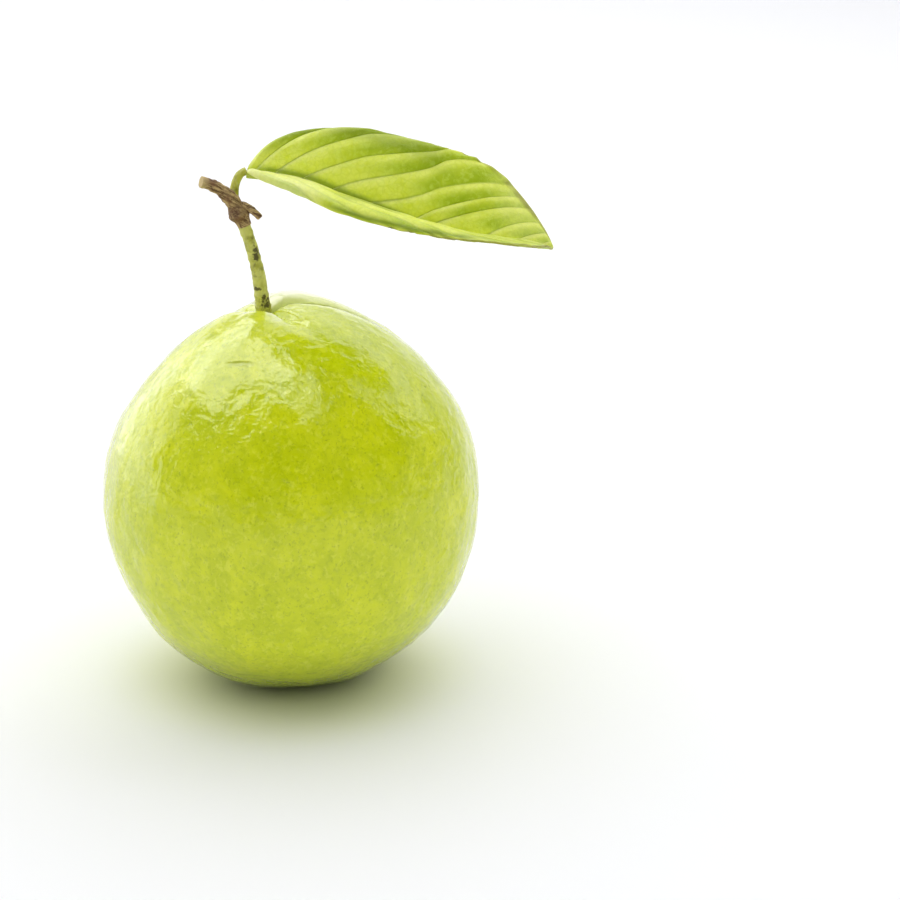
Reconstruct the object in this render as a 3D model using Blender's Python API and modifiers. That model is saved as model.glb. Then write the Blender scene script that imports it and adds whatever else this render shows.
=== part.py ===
"""A guava as picked: one whole fruit on its stalk, with a short woody twig and one leaf.

Metres, +Z up. The origin is the centre of the small flat spot that the fruit rests on.
The leaf reaches out along +X, and -Y is the side that the leaf's hollow faces.
"""

import math

import bmesh
import bpy
from mathutils import Matrix, Vector, noise

MM = 0.001

# Driving dimensions
FRUIT_WIDTH = 96 * MM
FRUIT_CENTRE_HEIGHT = 50.5 * MM
LEAF_THICKNESS = 0.8 * MM
FIT_GAP = 0.3 * MM

# Fruit body: its radius at the equator, and how far the two ends stand out from a sphere
FRUIT_RADIUS = FRUIT_WIDTH / 2
STEM_END_RISE = 2.6 * MM
BLOSSOM_END_RISE = 3.2 * MM
FRUIT_CENTRE = Vector((0, 0, FRUIT_CENTRE_HEIGHT))
FRUIT_SEGMENTS = 72
FRUIT_RINGS = 46
FLAT_SPOT_SOFTNESS = 0.6 * MM

# The two ends lean away from the vertical: (towards +X, towards +Y), in degrees
STEM_END_LEAN = (-7.0, 0.0)
BLOSSOM_END_LEAN = (19.0, 12.0)

# Stalk pit and blossom basin: depth, and spread as a polar angle in degrees
STALK_PIT = (3.6 * MM, 5.0)
BLOSSOM_BASIN = (5.2 * MM, 8.5)
BLOSSOM_RIM = (0.9 * MM, 13.0, 5.0)
BLOSSOM_RIBS = (5, 0.5 * MM, 16.0)

# Lobes and, where the height is negative, furrows that run out from the stalk pit:
# azimuth, height, half width in degrees, and the polar angle in degrees where it is highest
CROWN_FOLDS = (
    (62.0, 1.0 * MM, 34.0, 9.0),
    (14.0, -1.9 * MM, 10.0, 8.0),
    (-16.0, -0.6 * MM, 20.0, 9.0),
    (-50.0, -2.4 * MM, 12.0, 8.0),
    (-98.0, 1.1 * MM, 36.0, 8.0),
    (-150.0, 0.4 * MM, 24.0, 8.0),
    (142.0, -1.8 * MM, 28.0, 12.0),
)

# Broad swellings and hollows of the body: direction (x, y, z), height, spread in degrees
SWELLINGS = (
    ((-0.47, -0.30, -0.83), 2.4 * MM, 34.0),
    ((-0.68, 0.25, 0.69), -3.6 * MM, 27.0),
    ((0.62, -0.35, -0.70), 1.0 * MM, 38.0),
    ((0.20, 0.95, 0.10), 1.2 * MM, 40.0),
    ((0.60, 0.27, 0.75), -1.2 * MM, 20.0),
    ((0.95, 0.10, 0.30), 1.1 * MM, 22.0),
)
WAVE_HEIGHT = 0.55 * MM
WAVE_LENGTH = 17 * MM

# How much closer the rings of the body stand near its two ends, and where its waves fade out
RING_CROWDING = 0.15
WAVE_FADE = 24.0

# Fruit stalk: centre line from the socket in the fruit to the twig, with its radius
STALK_LINE = (
    ((-5.3, 0.2, 94.6), 1.90),
    ((-5.6, 0.1, 98.2), 2.00),
    ((-6.0, 0.0, 102.0), 1.85),
    ((-6.6, 0.0, 107.5), 1.72),
    ((-7.6, 0.0, 112.5), 1.60),
    ((-8.8, 0.0, 117.2), 1.55),
    ((-9.9, 0.0, 120.6), 1.62),
)
STALK_SOCKET_DEPTH = 4.0 * MM
SOCKET_SIDES = 24

# Twig: the knot that the stalk grows from, then the cut end
TWIG_LINE = (
    ((-9.7, 0.0, 120.6), 1.75),
    ((-10.5, 0.0, 122.6), 2.35),
    ((-11.6, -0.2, 125.0), 2.40),
    ((-13.0, -0.6, 127.6), 1.85),
    ((-15.6, -1.4, 130.3), 1.60),
    ((-18.2, -2.4, 131.9), 1.42),
    ((-20.0, -3.2, 132.6), 1.40),
)
STUB_LINE = (
    ((-11.0, -0.2, 126.0), 1.10),
    ((-8.6, -1.0, 125.5), 0.95),
    ((-7.0, -1.6, 124.4), 0.85),
    ((-5.7, -2.1, 123.2), 0.80),
)

# Leaf stalk: from the twig up to the base of the blade
LEAF_STALK_LINE = (
    ((-12.4, 0.7, 127.7), 1.30),
    ((-12.2, 1.5, 129.7), 1.15),
    ((-11.7, 2.1, 131.6), 1.08),
    ((-10.7, 2.6, 133.2), 1.02),
    ((-9.2, 2.8, 134.0), 1.00),
)
LEAF_STALK_SOCKET_DEPTH = 0.5 * MM

# Leaf: its midrib, then half widths and the slopes of its two halves along it
LEAF_MIDRIB = (
    (-9.0, 2.8, 134.0),
    (4.0, 1.2, 132.4),
    (15.1, 0.0, 128.4),
    (28.8, -1.0, 123.5),
    (36.4, -1.2, 120.7),
    (45.8, -0.8, 118.0),
    (56.5, 0.6, 116.0),
    (67.4, 2.6, 114.2),
)
LEAF_HALF_WIDTHS = (
    (0.00, 0.8),
    (0.04, 5.0),
    (0.09, 9.4),
    (0.17, 14.3),
    (0.31, 19.4),
    (0.46, 21.2),
    (0.60, 21.9),
    (0.72, 21.4),
    (0.83, 18.2),
    (0.92, 10.0),
    (0.97, 3.8),
    (1.00, 0.4),
)

# Slope of each half where it leaves the midrib, in degrees above level, at shares of the midrib,
# then how far it bends on the way to the margin, and how far the margin itself rolls over
FAR_HALF_SLOPES = ((0.0, 58.0), (0.5, 61.0), (1.0, 62.0))
FAR_HALF_BEND = -16.0
FAR_MARGIN_ROLLS = ((0.0, -8.0), (0.5, -8.0), (1.0, -8.0))
NEAR_HALF_SLOPES = (
    (0.0, 14.0),
    (0.1, 9.5),
    (0.18, 10.5),
    (0.32, 13.0),
    (0.5, 17.5),
    (0.65, 19.0),
    (1.0, 19.0),
)
NEAR_HALF_BEND = -10.0
NEAR_MARGIN_ROLLS = ((0.0, -42.0), (0.4, -42.0), (0.6, -34.0), (0.76, -14.0), (1.0, -6.0))
ROLL_START = 0.76
BEND_STEPS = 12

# Where each vein leaves the midrib and meets the margin, as shares of the midrib, and how it turns
VEIN_ROOTS = (0.0, 0.03, 0.08, 0.15, 0.245, 0.34, 0.485, 0.56, 0.76, 0.86, 0.94, 1.0)
VEIN_ENDS = (0.0, 0.25, 0.40, 0.61, 0.73, 0.86, 0.895, 0.92, 0.95, 0.972, 0.99, 1.0)
VEIN_TURN = 1.8
ROW_SPREAD = 0.8

# The pillows between the veins, highest nearer to the vein below
PILLOW_HEIGHT = 0.9 * MM
PILLOW_LEAN = 0.75
LINES_PER_VEIN = 4
CELLS_ACROSS = 10

# Midrib: its radius at the two ends, how far it lies below the blade in shares of it, and its length
MIDRIB_RADII = (1.05 * MM, 0.40 * MM)
MIDRIB_DROPS = ((0.0, 0.85), (0.2, 0.75), (0.34, 0.25), (0.7, 0.2), (1.0, 0.5))
MIDRIB_SHARE = 0.97
MIDRIB_STEPS = 12

# Calyx: the dry sepals left at the blossom end, joined to a small disc
SEPALS = 5
SEPAL_LENGTH = 3.6 * MM
SEPAL_RISE = 4.4 * MM
CALYX_THICKNESS = 0.8 * MM
CALYX_DISC_RADIUS = 2.5 * MM
CALYX_RINGS = 5
CALYX_SEGMENTS = 30

SKIN_GREEN = (0.47, 0.55, 0.03, 1)
LEAF_GREEN = (0.33, 0.47, 0.04, 1)
STALK_GREEN = (0.28, 0.29, 0.05, 1)
BARK_BROWN = (0.16, 0.10, 0.05, 1)
CALYX_BROWN = (0.10, 0.06, 0.03, 1)


def smooth_step(value):
    value = min(max(value, 0.0), 1.0)
    return value * value * (3 - 2 * value)


def through(points, share):
    """The point at a share of the way along a smooth curve through evenly shared points."""
    spans = len(points) - 1
    place = min(max(share, 0.0), 1.0) * spans
    index = min(int(place), spans - 1)
    t = place - index
    a = points[max(index - 1, 0)]
    b = points[index]
    c = points[index + 1]
    d = points[min(index + 2, spans)]
    square = 2 * a - 5 * b + 4 * c - d
    cube = 3 * b - a - 3 * c + d
    return 0.5 * (2 * b + (c - a) * t + square * t**2 + cube * t**3)


def material(name, colour, roughness):
    made = bpy.data.materials.new(name)
    made.use_nodes = True
    shader = made.node_tree.nodes["Principled BSDF"]
    shader.inputs["Base Color"].default_value = colour
    shader.inputs["Roughness"].default_value = roughness
    shader.inputs["Metallic"].default_value = 0.0
    made.diffuse_color = colour
    return made


def collection(name):
    made = bpy.data.collections.new(name)
    bpy.context.scene.collection.children.link(made)
    return made


def object_from(name, mesh, home):
    made = bpy.data.objects.new(name, mesh)
    home.objects.link(made)
    return made


# Fruit


def lean(end_lean, direction):
    """A direction, turned by an end's lean from the vertical."""
    turn_x = Matrix.Rotation(math.radians(end_lean[0]), 3, "Y")
    turn_y = Matrix.Rotation(math.radians(-end_lean[1]), 3, "X")
    return turn_x @ (turn_y @ direction)


def fruit_direction(polar, azimuth):
    """The direction from the fruit's centre for a polar angle from the stalk, with its axis bent."""
    share = smooth_step(polar / math.pi)
    bend = [a + (b - a) * share for a, b in zip(STEM_END_LEAN, (-x for x in BLOSSOM_END_LEAN))]
    level = Vector((math.cos(azimuth), math.sin(azimuth), 0)) * math.sin(polar)
    return lean(bend, level + Vector((0, 0, math.cos(polar))))


def angle_between(first, second):
    """The smallest angle between two azimuths, in degrees."""
    return (first - second + 180) % 360 - 180


def bell(distance, spread):
    return math.exp(-((distance / spread) ** 2))


def crown_height(polar_deg, azimuth_deg):
    """How high the lobes stand, and how deep the furrows between them lie, round the stalk."""
    height = 0.0
    for where, tall, wide, peak in CROWN_FOLDS:
        reach = polar_deg / peak
        height += tall * bell(angle_between(azimuth_deg, where), wide) * reach * math.exp(1 - reach)
    return height


def fruit_radius(polar, azimuth, direction):
    polar_deg = math.degrees(polar)
    from_blossom = 180 - polar_deg
    azimuth_deg = math.degrees(azimuth)
    upper = max(math.cos(polar), 0.0)
    lower = max(-math.cos(polar), 0.0)
    radius = FRUIT_RADIUS + STEM_END_RISE * upper**2 + BLOSSOM_END_RISE * lower**2
    radius -= STALK_PIT[0] * bell(polar_deg, STALK_PIT[1])
    radius += crown_height(polar_deg, azimuth_deg)
    radius -= BLOSSOM_BASIN[0] * bell(from_blossom, BLOSSOM_BASIN[1])
    radius += BLOSSOM_RIM[0] * bell(from_blossom - BLOSSOM_RIM[1], BLOSSOM_RIM[2])
    ribs, rib_height, rib_place = BLOSSOM_RIBS
    radius += rib_height * math.cos(ribs * azimuth) * bell(from_blossom - rib_place, rib_place / 2)
    for towards, height, spread in SWELLINGS:
        apart = math.degrees(direction.angle(Vector(towards)))
        radius += height * bell(apart, spread)
    place = direction * FRUIT_RADIUS / WAVE_LENGTH
    return radius + WAVE_HEIGHT * noise.noise(place) * smooth_step(from_blossom / WAVE_FADE)


def flatten_foot(height):
    """A height above the table, with what would reach below it laid flat and the edge of the spot eased."""
    soft = FLAT_SPOT_SOFTNESS
    if height >= soft:
        return height
    return 0.0 if height <= -soft else (height + soft) ** 2 / (4 * soft)


def fruit_point(polar, azimuth):
    direction = fruit_direction(polar, azimuth)
    point = FRUIT_CENTRE + direction * fruit_radius(polar, azimuth, direction)
    point.z = flatten_foot(point.z)
    return point


def ring_angle(share):
    """The polar angle of a ring, with more rings near both ends, where the pit and the basin are."""
    return math.pi * share - RING_CROWDING * math.sin(4 * math.pi * share)


def fruit_mesh():
    made = bmesh.new()
    bmesh.ops.create_uvsphere(made, u_segments=FRUIT_SEGMENTS, v_segments=FRUIT_RINGS, radius=1)
    for vertex in made.verts:
        share = math.acos(min(max(vertex.co.z, -1.0), 1.0)) / math.pi
        azimuth = math.atan2(vertex.co.y, vertex.co.x)
        vertex.co = fruit_point(ring_angle(share), azimuth)
    mesh = bpy.data.meshes.new("fruit")
    made.to_mesh(mesh)
    made.free()
    mesh.shade_smooth()
    return mesh


def socket_cutter(name, seat, direction, radius, depth, home):
    """A cylinder that cuts a plain round hole of a depth below a seat, along a way that points out."""
    length = depth * 4
    made = bmesh.new()
    sides = {"segments": SOCKET_SIDES, "radius1": radius, "radius2": radius}
    bmesh.ops.create_cone(made, cap_ends=True, depth=length, **sides)
    turn = direction.to_track_quat("Z", "Y").to_matrix().to_4x4()
    shift = Matrix.Translation(seat + direction * (length / 2 - depth))
    made.transform(shift @ turn)
    mesh = bpy.data.meshes.new(name)
    made.to_mesh(mesh)
    made.free()
    cutter = object_from(name, mesh, home)
    cutter.hide_render = True
    cutter.display_type = "WIRE"
    return cutter


def cut(target, cutter):
    step = target.modifiers.new(cutter.name, "BOOLEAN")
    step.operation = "DIFFERENCE"
    step.solver = "EXACT"
    step.object = cutter


def make_fruit(parts, cutters):
    fruit = object_from("fruit", fruit_mesh(), parts)
    fruit.data.materials.append(material("guava_skin", SKIN_GREEN, 0.35))
    stalk_foot = Vector(STALK_LINE[0][0]) * MM
    stalk_seat = Vector(STALK_LINE[1][0]) * MM
    stalk_way = (stalk_seat - stalk_foot).normalized()
    hole_radius = STALK_LINE[1][1] * MM + FIT_GAP
    bottom = stalk_foot - stalk_way * FIT_GAP
    seat = bottom + stalk_way * STALK_SOCKET_DEPTH
    cut(fruit, socket_cutter("stalk_socket", seat, stalk_way, hole_radius, STALK_SOCKET_DEPTH, cutters))
    return fruit


# Calyx


def blossom_seat():
    """The middle of the blossom basin, and the way out of it."""
    seat = fruit_point(math.pi, 0.0)
    return seat, (seat - FRUIT_CENTRE).normalized()


def calyx_point(azimuth, share):
    """A point of the calyx's middle surface, a share of the way from its middle to its margin."""
    place = azimuth * SEPALS / math.tau
    off = abs(place % 1 - 0.5) * 2
    uneven = 0.88 + 0.12 * math.cos(2 * azimuth + 1)
    margin = CALYX_DISC_RADIUS + SEPAL_LENGTH * uneven * (1 - off**1.2)
    out = margin * share
    past = max(out - CALYX_DISC_RADIUS * 0.7, 0) / SEPAL_LENGTH
    rise = SEPAL_RISE * past**0.9 * (0.72 + 0.28 * uneven)
    return Vector((out * math.cos(azimuth), out * math.sin(azimuth), rise))


def calyx_mesh():
    made = bmesh.new()
    middle = made.verts.new(calyx_point(0, 0))
    rings = []
    for i in range(1, CALYX_RINGS + 1):
        turns = [math.tau * j / CALYX_SEGMENTS for j in range(CALYX_SEGMENTS)]
        rings.append([made.verts.new(calyx_point(turn, i / CALYX_RINGS)) for turn in turns])
    for j in range(CALYX_SEGMENTS):
        k = (j + 1) % CALYX_SEGMENTS
        made.faces.new((middle, rings[0][j], rings[0][k]))
        for inner, outer in zip(rings, rings[1:]):
            made.faces.new((inner[j], outer[j], outer[k], inner[k]))
    bmesh.ops.triangulate(made, faces=made.faces)
    mesh = bpy.data.meshes.new("calyx")
    made.to_mesh(mesh)
    made.free()
    mesh.shade_smooth()
    return mesh


def make_calyx(parts):
    seat, way = blossom_seat()
    calyx = object_from("calyx", calyx_mesh(), parts)
    lift = Matrix.Translation(seat + way * (CALYX_THICKNESS / 2 + FIT_GAP))
    calyx.matrix_world = lift @ way.to_track_quat("Z", "Y").to_matrix().to_4x4()
    calyx.data.materials.append(material("calyx_brown", CALYX_BROWN, 0.85))
    shell = calyx.modifiers.new("thickness", "SOLIDIFY")
    shell.thickness = CALYX_THICKNESS
    shell.offset = 0
    return calyx


def join(target, others, solver):
    """Fuses a collection's objects into a target, and removes them."""
    step = target.modifiers.new("fuse", "BOOLEAN")
    step.operation = "UNION"
    step.operand_type = "COLLECTION"
    step.collection = others
    step.solver = solver
    apply_modifiers(target)
    for helper in list(others.objects):
        bpy.data.objects.remove(helper)
    bpy.data.collections.remove(others)


def apply_modifiers(target):
    bpy.context.view_layer.update()
    evaluated = target.evaluated_get(bpy.context.evaluated_depsgraph_get())
    mesh = bpy.data.meshes.new_from_object(evaluated)
    target.modifiers.clear()
    target.data = mesh


# Stalks and twig


def tube(name, line, home):
    """A round tube with filled ends along a line of (point, radius), in millimetres."""
    curve = bpy.data.curves.new(name, "CURVE")
    curve.dimensions = "3D"
    curve.bevel_depth = 1 * MM
    curve.bevel_resolution = 4
    curve.use_fill_caps = True
    spline = curve.splines.new("POLY")
    points = [Vector((*place, radius)) for place, radius in line]
    steps = (len(points) - 1) * 4
    spline.points.add(steps)
    for index in range(steps + 1):
        place = through(points, index / steps)
        spline.points[index].co = (*(place.to_3d() * MM), 1)
        spline.points[index].radius = place.w
    sweep = bpy.data.objects.new(name, curve)
    home.objects.link(sweep)
    bpy.context.view_layer.update()
    mesh = bpy.data.meshes.new_from_object(sweep.evaluated_get(bpy.context.evaluated_depsgraph_get()))
    bpy.data.objects.remove(sweep)
    made = bmesh.new()
    made.from_mesh(mesh)
    bmesh.ops.remove_doubles(made, verts=made.verts, dist=0.01 * MM)
    bmesh.ops.recalc_face_normals(made, faces=made.faces)
    made.to_mesh(mesh)
    made.free()
    mesh.name = name
    mesh.shade_smooth()
    return object_from(name, mesh, home)


def shortened(line, start, end):
    """A line of (point, radius) with both of its ends drawn in by a length in millimetres."""
    points = [(Vector(place), radius) for place, radius in line]
    first = points[0][0] + (points[1][0] - points[0][0]).normalized() * start
    last = points[-1][0] + (points[-2][0] - points[-1][0]).normalized() * end
    return [(first, points[0][1])] + points[1:-1] + [(last, points[-1][1])]


def make_stalk(parts):
    gap = FIT_GAP / MM
    stalk = tube("stalk", shortened(STALK_LINE, 0, gap), parts)
    stalk.data.materials.append(material("stalk_green", STALK_GREEN, 0.6))
    return stalk


def make_twig(parts, cutters):
    twig = tube("twig", TWIG_LINE, parts)
    twig.data.materials.append(material("twig_bark", BARK_BROWN, 0.85))
    branches = bpy.data.collections.new("branches")
    cutters.children.link(branches)
    tube("stub", STUB_LINE, branches)
    join(twig, branches, "EXACT")
    foot = Vector(LEAF_STALK_LINE[0][0]) * MM
    way = (Vector(LEAF_STALK_LINE[1][0]) * MM - foot).normalized()
    hole_radius = LEAF_STALK_LINE[0][1] * MM + FIT_GAP
    seat = foot + way * (LEAF_STALK_SOCKET_DEPTH - FIT_GAP)
    cut(twig, socket_cutter("leaf_stalk_socket", seat, way, hole_radius, LEAF_STALK_SOCKET_DEPTH, cutters))
    return twig


def make_leaf_stalk(parts):
    gap = FIT_GAP / MM
    stalk = tube("leaf_stalk", shortened(LEAF_STALK_LINE, 0, gap), parts)
    stalk.data.materials.append(material("leaf_stalk_green", STALK_GREEN, 0.55))
    return stalk


# Leaf


def between_rows(rows, place):
    """The value at a place in a table of (place, value), on a smooth curve through its rows."""
    index = 0
    while index < len(rows) - 2 and place > rows[index + 1][0]:
        index += 1
    (start, low), (end, high) = rows[index], rows[index + 1]
    before = rows[max(index - 1, 0)]
    after = rows[min(index + 2, len(rows) - 1)]
    t = (place - start) / (end - start)
    slope_in = (high - before[1]) / (end - before[0]) * (end - start)
    slope_out = (after[1] - low) / (after[0] - start) * (end - start)
    value = (2 * t**3 - 3 * t**2 + 1) * low + (t**3 - 2 * t**2 + t) * slope_in
    return value + (3 * t**2 - 2 * t**3) * high + (t**3 - t**2) * slope_out


def blade_line(place):
    """Where a cross line leaves the midrib and where it reaches the margin, for a place counted in
    spaces between veins."""
    index = min(int(place), len(VEIN_ROOTS) - 2)
    share = place - index
    root = VEIN_ROOTS[index] + (VEIN_ROOTS[index + 1] - VEIN_ROOTS[index]) * share
    end = VEIN_ENDS[index] + (VEIN_ENDS[index + 1] - VEIN_ENDS[index]) * share
    return root, end


def midrib_frame(along):
    """The point on the midrib, the level way across it and the way up from it."""
    points = [Vector(place) * MM for place in LEAF_MIDRIB]
    step = 0.01
    tangent = (through(points, along + step) - through(points, along - step)).normalized()
    across = Vector((0, 0, 1)).cross(tangent).normalized()
    return through(points, along), across, tangent.cross(across)


def half_section(along, reach, share, side):
    """How far out level and up a half of the blade has come at a reach from the midrib, and its slope."""
    slopes, bend, rolls = NEAR_HALF_SLOPES, NEAR_HALF_BEND, NEAR_MARGIN_ROLLS
    if side > 0:
        slopes, bend, rolls = FAR_HALF_SLOPES, FAR_HALF_BEND, FAR_MARGIN_ROLLS
    start = between_rows(slopes, along)
    roll = between_rows(rolls, along)
    level = 0.0
    rise = 0.0
    for step in range(BEND_STEPS):
        here = share * (step + 0.5) / BEND_STEPS
        rolled = smooth_step((here - ROLL_START) / (1 - ROLL_START))
        slope = math.radians(start + bend * here + roll * rolled)
        level += math.cos(slope) * reach / BEND_STEPS
        rise += math.sin(slope) * reach / BEND_STEPS
    return level, rise, slope


def leaf_point(place, out, side):
    """A point of the blade's middle surface, on the cross line at a place counted in spaces between veins,
    a share of the way out to the margin, on the far half (side 1) or the near half (side -1)."""
    root, end = blade_line(place)
    forward = 1 - (1 - out) ** ROW_SPREAD
    along = root + (end - root) * forward
    share = 1 - (1 - forward) ** VEIN_TURN
    middle, across, up = midrib_frame(along)
    reach = between_rows(LEAF_HALF_WIDTHS, end) * MM * share
    level, rise, slope = half_section(along, reach, share, side)
    surface = middle + across * side * level + up * rise
    normal = up * math.cos(slope) - across * side * math.sin(slope)
    swell = abs(math.sin(math.pi * (place % 1) ** PILLOW_LEAN)) ** 0.8 * math.sin(math.pi * out) ** 0.6
    fade = smooth_step((1 - root) * 5) * smooth_step(place * 2)
    return surface + normal * PILLOW_HEIGHT * swell * fade


def leaf_mesh():
    """The blade: two half sheets that share the midrib, as one open sheet split into triangles."""
    lines = (len(VEIN_ROOTS) - 1) * LINES_PER_VEIN
    made = bmesh.new()
    rib = [made.verts.new(leaf_point(i / LINES_PER_VEIN, 0, 1)) for i in range(lines + 1)]
    for side in (1, -1):
        rows = []
        for i in range(1, lines):
            row = [rib[i]]
            for j in range(1, CELLS_ACROSS + 1):
                row.append(made.verts.new(leaf_point(i / LINES_PER_VEIN, j / CELLS_ACROSS, side)))
            rows.append(row)
        start = [rib[0]] * (CELLS_ACROSS + 1)
        end = [rib[lines]] * (CELLS_ACROSS + 1)
        for low, high in zip([start] + rows, rows + [end]):
            for j in range(CELLS_ACROSS):
                corners = [low[j], high[j], high[j + 1], low[j + 1]]
                corners = list(dict.fromkeys(corners if side < 0 else reversed(corners)))
                if len(corners) > 2:
                    made.faces.new(corners)
    bmesh.ops.triangulate(made, faces=made.faces)
    mesh = bpy.data.meshes.new("leaf")
    made.to_mesh(mesh)
    made.free()
    mesh.shade_smooth()
    return mesh


def midrib_line():
    """The midrib as a line of (point, radius), in millimetres."""
    line = []
    for index in range(MIDRIB_STEPS + 1):
        along = index / MIDRIB_STEPS * MIDRIB_SHARE
        place, _, up = midrib_frame(along)
        radius = MIDRIB_RADII[0] + (MIDRIB_RADII[1] - MIDRIB_RADII[0]) * along
        sunk = place - up * radius * between_rows(MIDRIB_DROPS, along)
        line.append((tuple(sunk / MM), radius / MM))
    return line


def make_leaf(parts, cutters):
    leaf = object_from("leaf", leaf_mesh(), parts)
    leaf.data.materials.append(material("leaf_blade", LEAF_GREEN, 0.4))
    shell = leaf.modifiers.new("thickness", "SOLIDIFY")
    shell.thickness = LEAF_THICKNESS
    shell.offset = 0
    ribs = bpy.data.collections.new("ribs")
    cutters.children.link(ribs)
    tube("midrib", midrib_line(), ribs)
    join(leaf, ribs, "MANIFOLD")
    return leaf


def main():
    for obj in list(bpy.data.objects):
        bpy.data.objects.remove(obj)
    parts = collection("guava")
    cutters = collection("cutters")
    make_fruit(parts, cutters)
    make_calyx(parts)
    make_stalk(parts)
    make_twig(parts, cutters)
    make_leaf_stalk(parts)
    make_leaf(parts, cutters)


main()
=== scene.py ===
"""Looks for the guava: waxy mottled skin, folded veined leaf, stalk, twig and dry calyx."""

import math

import bmesh
import bpy
from mathutils import Matrix, Vector, noise


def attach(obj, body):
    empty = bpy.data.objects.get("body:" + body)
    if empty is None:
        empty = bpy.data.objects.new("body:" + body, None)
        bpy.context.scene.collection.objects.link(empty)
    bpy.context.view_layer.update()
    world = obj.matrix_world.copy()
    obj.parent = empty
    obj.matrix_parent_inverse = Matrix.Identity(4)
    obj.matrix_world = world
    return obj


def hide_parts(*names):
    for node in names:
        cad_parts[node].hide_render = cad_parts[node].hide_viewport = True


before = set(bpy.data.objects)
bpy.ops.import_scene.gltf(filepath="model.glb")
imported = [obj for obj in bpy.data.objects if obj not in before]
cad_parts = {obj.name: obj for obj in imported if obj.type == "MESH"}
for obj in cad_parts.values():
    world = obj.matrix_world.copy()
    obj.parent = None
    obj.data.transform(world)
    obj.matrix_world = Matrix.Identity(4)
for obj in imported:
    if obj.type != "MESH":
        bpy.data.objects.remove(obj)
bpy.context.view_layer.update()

MM = 0.001

# Fruit body, as in the solids: radius at the equator, rise of the two ends, and their lean
FRUIT_RADIUS = 48 * MM
FRUIT_CENTRE = Vector((0, 0, 50.5 * MM))
STEM_END_RISE = 2.6 * MM
BLOSSOM_END_RISE = 3.2 * MM
STEM_END_LEAN = (-7.0, 0.0)
BLOSSOM_END_LEAN = (19.0, 12.0)
FLAT_SPOT_SOFTNESS = 0.6 * MM
STALK_PIT = (3.6 * MM, 5.0)
BLOSSOM_BASIN = (5.2 * MM, 8.5)
BLOSSOM_RIM = (0.9 * MM, 13.0, 5.0)
BLOSSOM_RIBS = (5, 0.5 * MM, 16.0)

# Lobes and, where the height is negative, furrows that run out from the stalk pit:
# azimuth, height, half width in degrees, and the polar angle in degrees where it is highest
CROWN_FOLDS = (
    (62.0, 1.0 * MM, 34.0, 9.0),
    (14.0, -1.9 * MM, 10.0, 8.0),
    (-16.0, -0.6 * MM, 20.0, 9.0),
    (-50.0, -2.4 * MM, 12.0, 8.0),
    (-98.0, 1.1 * MM, 36.0, 8.0),
    (-150.0, 0.4 * MM, 24.0, 8.0),
    (142.0, -1.8 * MM, 28.0, 12.0),
)

# Fine creases in the crown, in the same terms
CROWN_CREASES = (
    (14.0, -0.9 * MM, 4.0, 11.0),
    (-46.0, -0.6 * MM, 5.0, 7.0),
    (-50.0, 0.6 * MM, 12.0, 17.0),
    (-70.0, -0.25 * MM, 5.0, 6.0),
    (110.0, -0.4 * MM, 5.0, 9.0),
    (-125.0, -0.15 * MM, 7.0, 7.0),
    (175.0, -0.12 * MM, 8.0, 8.0),
)

# How deep a crease is where its painted shade is deepest
CREASE_SHADE_DEPTH = 0.7 * MM

# Pale waxy bloom beside the stalk, partly painted sheen where the crown lobes catch the light: azimuth, its
# half width, polar angle, its half width, strength
BLOOM_AND_SHEEN_SPOTS = (
    (60.0, 44.0, 16.0, 24.0, 1.3),
    (-64.0, 11.0, 11.0, 5.0, 0.6),
)

# A small healed scar high on the front: its middle, then along, down and into it, each over its half size
SCAR_PLACE = (-9.6, -25.8, 92.8)
SCAR_WAYS = ((0.21, 0.0, 0.04), (0.116, 0.73, 0.474), (-0.029, -0.086, 0.14))

# Broad swellings and hollows of the body: direction (x, y, z), height, spread in degrees
SWELLINGS = (
    ((-0.47, -0.30, -0.83), 2.4 * MM, 34.0),
    ((-0.68, 0.25, 0.69), -3.6 * MM, 27.0),
    ((0.62, -0.35, -0.70), 1.0 * MM, 38.0),
    ((0.20, 0.95, 0.10), 1.2 * MM, 40.0),
    ((0.60, 0.27, 0.75), -1.2 * MM, 20.0),
    ((0.95, 0.10, 0.30), 1.1 * MM, 22.0),
)

# Fine unevenness of the body, and how many faces its skin has round and along it
WAVE_HEIGHT = 0.55 * MM
WAVE_LENGTH = 17 * MM
SKIN_SEGMENTS = 340
SKIN_RINGS = 260
RING_CROWDING = 0.15

# Stalk, twig, stub and leaf stalk: points and radii in millimetres
STALK_LINE = (
    ((-5.3, 0.2, 94.6), 1.90),
    ((-5.6, 0.1, 98.2), 2.00),
    ((-6.0, 0.0, 102.0), 1.85),
    ((-6.6, 0.0, 107.5), 1.72),
    ((-7.6, 0.0, 112.5), 1.60),
    ((-8.8, 0.0, 117.2), 1.55),
    ((-9.9, 0.0, 120.6), 1.62),
)
TWIG_LINE = (
    ((-9.7, 0.0, 120.6), 1.75),
    ((-10.5, 0.0, 122.6), 2.35),
    ((-11.6, -0.2, 125.0), 2.40),
    ((-13.0, -0.6, 127.6), 1.85),
    ((-15.6, -1.4, 130.3), 1.60),
    ((-18.2, -2.4, 131.9), 1.42),
    ((-20.0, -3.2, 132.6), 1.40),
)
STUB_LINE = (
    ((-11.0, -0.2, 126.0), 1.10),
    ((-8.6, -1.0, 125.5), 0.95),
    ((-7.0, -1.6, 124.4), 0.85),
    ((-5.7, -2.1, 123.2), 0.80),
)
LEAF_STALK_LINE = (
    ((-12.4, 0.7, 127.7), 1.30),
    ((-12.2, 1.5, 129.7), 1.15),
    ((-11.7, 2.1, 131.6), 1.08),
    ((-10.7, 2.6, 133.2), 1.02),
    ((-9.2, 2.8, 134.0), 1.00),
)

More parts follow.
